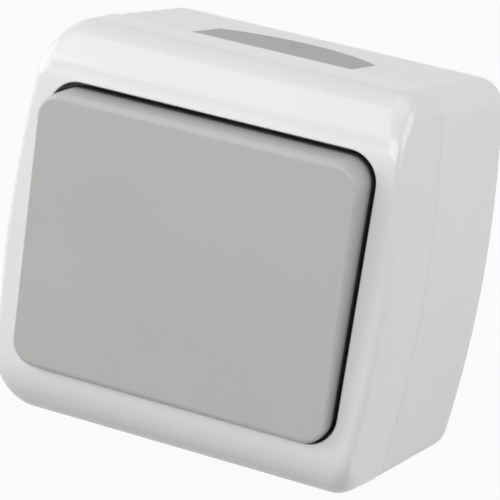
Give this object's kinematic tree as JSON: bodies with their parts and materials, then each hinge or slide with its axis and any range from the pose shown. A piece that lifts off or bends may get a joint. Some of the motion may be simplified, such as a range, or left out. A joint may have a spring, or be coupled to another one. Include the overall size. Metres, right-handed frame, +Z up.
{
  "type": "surface mounted light switch",
  "caption": "Splash-proof surface mounted light switch: white two-part housing with bowed sides, wide grey rocker, soft cable entries and a rocking two-way contact inside",
  "frame": {"origin": "centre of the back face that lies on the wall, level with the middle of the rocker's opening", "axes": "+X to the right seen from the front, +Y into the wall, +Z up"},
  "size_m": [0.076, 0.0539, 0.0742],
  "materials": {
    "housing_white": "glossy moulded white thermoplastic",
    "rocker_grey": "fine matte moulded light grey thermoplastic",
    "entry_grey": "soft grey moulded elastomer plate",
    "seal_grey": "soft dark grey foam rubber",
    "zinc_steel": "zinc plated steel",
    "mechanism_cream": "off-white thermoset moulding",
    "bridge_white": "white glass filled polyamide",
    "dolly_white": "natural acetal",
    "contact_brass": "stamped brass strip",
    "contact_silver": "silver alloy contact rivet",
    "spring_steel": "bright spring wire"
  },
  "bodies": {
    "housing": {"base_box": "housing_white", "front_cover": "housing_white", "cover_gasket": "seal_grey", "cable_seal_top": "entry_grey", "cable_seal_bottom": "entry_grey", "cover_screws": "zinc_steel", "mechanism_body": "mechanism_cream", "mechanism_bridge": "bridge_white", "mechanism_rivets": "zinc_steel", "mechanism_screws": "zinc_steel", "window_seal": "seal_grey", "common_terminal": "contact_brass", "switched_terminal_upper": "contact_brass", "switched_terminal_lower": "contact_brass", "fixed_contact_tips": "contact_silver", "terminal_clamps": "zinc_steel", "terminal_screws": "zinc_steel"},
    "rocker": {"rocker_plate": "rocker_grey", "rocker_dolly": "dolly_white", "plunger_spring": "spring_steel"},
    "plunger": {"plunger": "dolly_white"},
    "contact": {"contact_lever": "contact_brass", "moving_contact_tips": "contact_silver"}
  },
  "joints": [
    {"name": "rocker_tilt", "type": "hinge", "parent": "housing", "child": "rocker", "pos_m": [0, -0.0438, 0], "axis": [-1, 0, 0], "range_deg": [0, 8]},
    {"name": "contact_tilt", "type": "hinge", "parent": "housing", "child": "contact", "pos_m": [0, -0.02772, 0], "axis": [-1, 0, 0], "range_deg": [-16, 0]},
    {"name": "plunger_slide", "type": "slide", "parent": "rocker", "child": "plunger", "axis": [0, -0.9976, -0.0698], "range_m": [0, 0.0006], "stiffness_N_per_m": 400, "springref_m": -0.0005, "deforming": ["plunger_spring"]}
  ],
  "couplings": [
    {"joint": "contact_tilt", "follows": "rocker_tilt", "ratio": -2}
  ]
}
